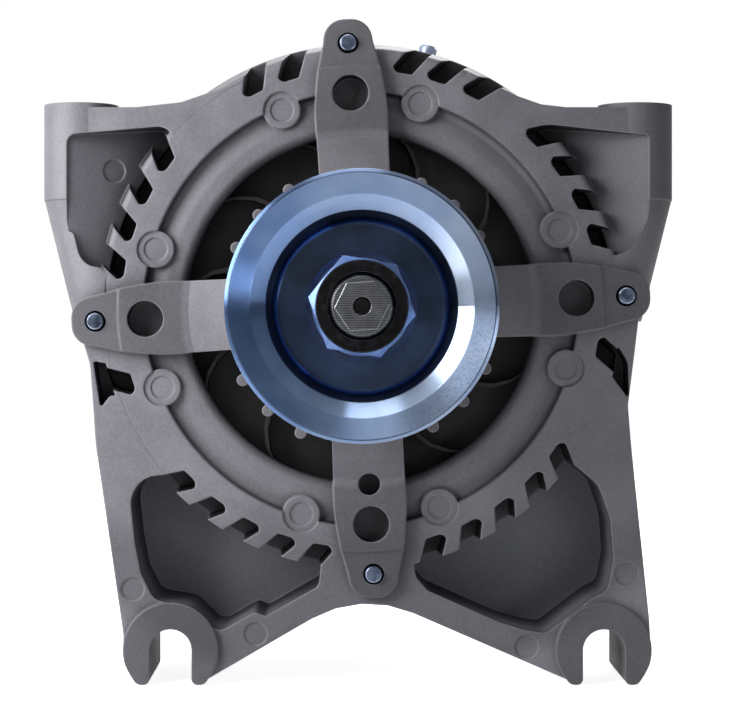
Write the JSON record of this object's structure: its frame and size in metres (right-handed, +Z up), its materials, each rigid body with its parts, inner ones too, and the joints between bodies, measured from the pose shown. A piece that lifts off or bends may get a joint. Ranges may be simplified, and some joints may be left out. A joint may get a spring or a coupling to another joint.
{
  "type": "automotive alternator",
  "caption": "Vehicle alternator: ribbed belt pulley, die-cast front housing with four spokes, vent windows, two tapped top pads and two U-slot lugs, finned rear and terminal cover.",
  "frame": {"origin": "on the shaft axis, in the middle plane of the belt grooves", "axes": "+Z up as mounted, -Y out of the pulley face towards the viewer, +X to the viewer's right"},
  "size_m": [0.158, 0.1655, 0.1659],
  "materials": {
    "cast": "matte",
    "sheet": "satin",
    "laminations": "satin",
    "enamel_wire": "gloss",
    "zinc_steel": "polished",
    "dark_nut": "satin",
    "steel": "satin",
    "bearing_steel": "polished",
    "pole_iron": "matte",
    "seal_rubber": "matte",
    "black_plastic": "matte",
    "brown_plastic": "matte",
    "copper": "satin",
    "brass": "satin",
    "graphite": "matte",
    "red_plastic": "gloss"
  },
  "bodies": {
    "housing": {"front_housing": "cast", "rear_housing": "cast", "stator_core": "laminations", "stator_winding": "enamel_wire", "through_bolts": "steel", "front_bearing_outer": "bearing_steel", "front_bearing_seals": "seal_rubber", "retainer_plate": "steel", "retainer_screws": "steel", "rear_bearing_outer": "bearing_steel", "rear_bearing_seals": "seal_rubber", "brush_holder": "brown_plastic", "brush_spring_front": "steel", "brush_spring_rear": "steel", "regulator": "black_plastic", "connector_pins": "brass", "negative_heat_sink": "sheet", "positive_heat_sink": "sheet", "negative_diodes": "steel", "positive_diodes": "steel", "rectifier_moulding": "black_plastic", "output_stud": "brass", "output_insulator": "red_plastic", "output_nut": "steel", "rear_cover": "black_plastic", "cover_studs": "steel", "cover_nuts": "steel", "harness_stud": "steel"},
    "rotor": {"rotor_shaft": "steel", "pulley": "zinc_steel", "pulley_nut": "dark_nut", "pulley_spacer": "steel", "rotor_spacer": "steel", "rear_spacer": "steel", "front_bearing_inner": "bearing_steel", "rear_bearing_inner": "bearing_steel", "front_claw_pole": "pole_iron", "rear_claw_pole": "pole_iron", "coil_bobbin": "black_plastic", "field_coil": "enamel_wire", "front_fan": "steel", "rear_fan": "steel", "slip_ring_insulator": "black_plastic", "slip_ring_front": "copper", "slip_ring_rear": "copper"},
    "front_balls": {"front_bearing_balls": "bearing_steel", "front_bearing_cage": "black_plastic"},
    "rear_balls": {"rear_bearing_balls": "bearing_steel", "rear_bearing_cage": "black_plastic"},
    "front_brush": {"brush_front": "graphite"},
    "rear_brush": {"brush_rear": "graphite"}
  },
  "joints": [
    {"name": "rotor_spin", "type": "hinge", "parent": "housing", "child": "rotor", "pos_m": [0, 0, 0], "axis": [0, 1, 0], "continuous": true},
    {"name": "front_balls_roll", "type": "hinge", "parent": "housing", "child": "front_balls", "pos_m": [0, 0.0245, 0], "axis": [0, 1, 0], "continuous": true},
    {"name": "rear_balls_roll", "type": "hinge", "parent": "housing", "child": "rear_balls", "pos_m": [0, 0.104, 0], "axis": [0, 1, 0], "continuous": true},
    {"name": "front_brush_slide", "type": "slide", "parent": "housing", "child": "front_brush", "axis": [0, 0, 1], "range_m": [0, 0.005], "stiffness_N_per_m": 250, "springref_m": -0.012, "deforming": ["brush_spring_front"]},
    {"name": "rear_brush_slide", "type": "slide", "parent": "housing", "child": "rear_brush", "axis": [0, 0, 1], "range_m": [0, 0.005], "stiffness_N_per_m": 250, "springref_m": -0.012, "deforming": ["brush_spring_rear"]}
  ],
  "couplings": [
    {"joint": "front_balls_roll", "follows": "rotor_spin", "ratio": 0.36359},
    {"joint": "rear_balls_roll", "follows": "rotor_spin", "ratio": 0.38158}
  ]
}
